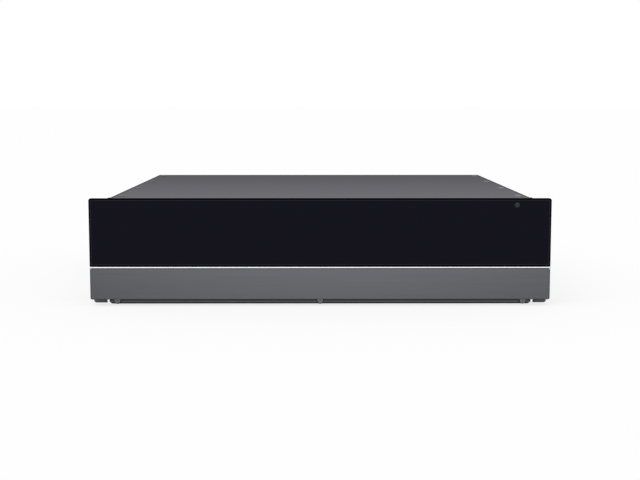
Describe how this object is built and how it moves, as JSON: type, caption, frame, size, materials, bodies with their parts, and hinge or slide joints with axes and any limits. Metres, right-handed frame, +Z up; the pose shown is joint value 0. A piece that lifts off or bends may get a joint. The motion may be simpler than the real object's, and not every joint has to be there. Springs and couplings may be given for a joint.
{
  "type": "built-in warming drawer",
  "caption": "Push-to-open warming drawer for a kitchen column: glass and steel front, heated basin on telescopic runners, folded steel housing with mounting flanges.",
  "frame": {"origin": "middle of the footprint, on the level of the base's underside", "axes": "+X to the right seen from the front, +Y to the back, +Z up; the front faces -Y"},
  "size_m": [0.596, 0.5522, 0.1397],
  "materials": {
    "galvanised": "satin grey coated steel sheet",
    "bright_steel": "fine brushed stainless steel",
    "zinc_plate": "bright zinc plate",
    "black_glass": "black back-painted glass, polished",
    "trim": "bright anodised strip",
    "dark_steel": "dark brushed steel, horizontal grain",
    "lamination": "stacked laminations",
    "rubber": "matt black rubber",
    "black_plastic": "matt black moulding",
    "white_plastic": "off-white moulding",
    "smoked_lens": "smoked indicator lens",
    "copper": "enamelled copper winding",
    "element_sheath": "heat-darkened tube"
  },
  "bodies": {
    "housing": {"housing_base": "galvanised", "housing_side_right": "galvanised", "housing_side_left": "galvanised", "housing_back": "galvanised", "housing_top": "galvanised", "corner_buffer_right": "rubber", "corner_buffer_left": "rubber", "base_screw_left": "zinc_plate", "base_screw_middle": "zinc_plate", "base_screw_right": "zinc_plate", "terminal_box": "white_plastic", "terminal_cover": "white_plastic", "cable_gland": "black_plastic", "runner_outer_right": "zinc_plate", "runner_outer_left": "zinc_plate", "latch_body": "black_plastic"},
    "latch_plunger": {"latch_plunger": "black_plastic"},
    "runner_middle_right": {"runner_middle_right": "zinc_plate"},
    "runner_middle_left": {"runner_middle_left": "zinc_plate"},
    "outer_cage_right": {"runner_outer_cage_right": "bright_steel"},
    "outer_cage_left": {"runner_outer_cage_left": "bright_steel"},
    "inner_cage_right": {"runner_inner_cage_right": "bright_steel"},
    "inner_cage_left": {"runner_inner_cage_left": "bright_steel"},
    "drawer": {"runner_inner_right": "zinc_plate", "runner_inner_left": "zinc_plate", "front_glass": "black_glass", "front_trim_strip": "trim", "front_lower_panel": "dark_steel", "front_carrier": "galvanised", "inner_front_panel": "bright_steel", "front_bracket_right": "zinc_plate", "front_bracket_left": "zinc_plate", "indicator_lens": "smoked_lens", "indicator_lamp_body": "white_plastic", "drawer_basin": "bright_steel", "anti_slip_mat": "rubber", "heater_grille": "bright_steel", "heater_cover": "galvanised", "heating_element": "element_sheath", "element_clip_left": "zinc_plate", "element_clip_right": "zinc_plate", "safety_thermostat": "black_plastic", "blower_scroll": "galvanised", "blower_bearing": "rubber", "motor_bracket": "zinc_plate", "motor_stator": "lamination", "motor_coil": "copper", "control_fascia": "bright_steel", "thermostat_body": "black_plastic", "rocker_frame": "black_plastic", "latch_striker": "zinc_plate"},
    "thermostat_knob": {"thermostat_knob": "black_plastic", "thermostat_spindle": "zinc_plate"},
    "power_rocker": {"power_rocker": "black_plastic"},
    "blower_wheel": {"blower_wheel": "zinc_plate", "blower_shaft": "bright_steel", "motor_rotor": "lamination"}
  },
  "joints": [
    {"name": "drawer_slide", "type": "slide", "parent": "housing", "child": "drawer", "axis": [0, -1, 0], "range_m": [-0.003, 0.43]},
    {"name": "runner_middle_right_slide", "type": "slide", "parent": "housing", "child": "runner_middle_right", "axis": [0, -1, 0], "range_m": [-0.0015, 0.215]},
    {"name": "outer_cage_right_slide", "type": "slide", "parent": "housing", "child": "outer_cage_right", "axis": [0, -1, 0], "range_m": [-0.00075, 0.1075]},
    {"name": "inner_cage_right_slide", "type": "slide", "parent": "runner_middle_right", "child": "inner_cage_right", "axis": [0, -1, 0], "range_m": [-0.00075, 0.1075]},
    {"name": "runner_middle_left_slide", "type": "slide", "parent": "housing", "child": "runner_middle_left", "axis": [0, -1, 0], "range_m": [-0.0015, 0.215]},
    {"name": "outer_cage_left_slide", "type": "slide", "parent": "housing", "child": "outer_cage_left", "axis": [0, -1, 0], "range_m": [-0.00075, 0.1075]},
    {"name": "inner_cage_left_slide", "type": "slide", "parent": "runner_middle_left", "child": "inner_cage_left", "axis": [0, -1, 0], "range_m": [-0.00075, 0.1075]},
    {"name": "thermostat_knob_turn", "type": "hinge", "parent": "drawer", "child": "thermostat_knob", "pos_m": [0.188, -0.2349, 0.12], "axis": [0, 0, -1], "range_deg": [0, 270]},
    {"name": "power_rocker_tilt", "type": "hinge", "parent": "drawer", "child": "power_rocker", "pos_m": [0.233, -0.2349, 0.1143], "axis": [0, 1, 0], "range_deg": [0, 14]},
    {"name": "blower_wheel_spin", "type": "hinge", "parent": "drawer", "child": "blower_wheel", "pos_m": [0, 0.2341, 0.066], "axis": [1, 0, 0], "continuous": true},
    {"name": "latch_plunger_slide", "type": "slide", "parent": "housing", "child": "latch_plunger", "axis": [0, -1, 0], "range_m": [-0.004, 0], "stiffness_N_per_m": 400, "springref_m": 0.004}
  ],
  "couplings": [
    {"joint": "runner_middle_right_slide", "follows": "drawer_slide", "ratio": 0.5},
    {"joint": "outer_cage_right_slide", "follows": "drawer_slide", "ratio": 0.25},
    {"joint": "inner_cage_right_slide", "follows": "drawer_slide", "ratio": 0.25},
    {"joint": "runner_middle_left_slide", "follows": "drawer_slide", "ratio": 0.5},
    {"joint": "outer_cage_left_slide", "follows": "drawer_slide", "ratio": 0.25},
    {"joint": "inner_cage_left_slide", "follows": "drawer_slide", "ratio": 0.25}
  ]
}
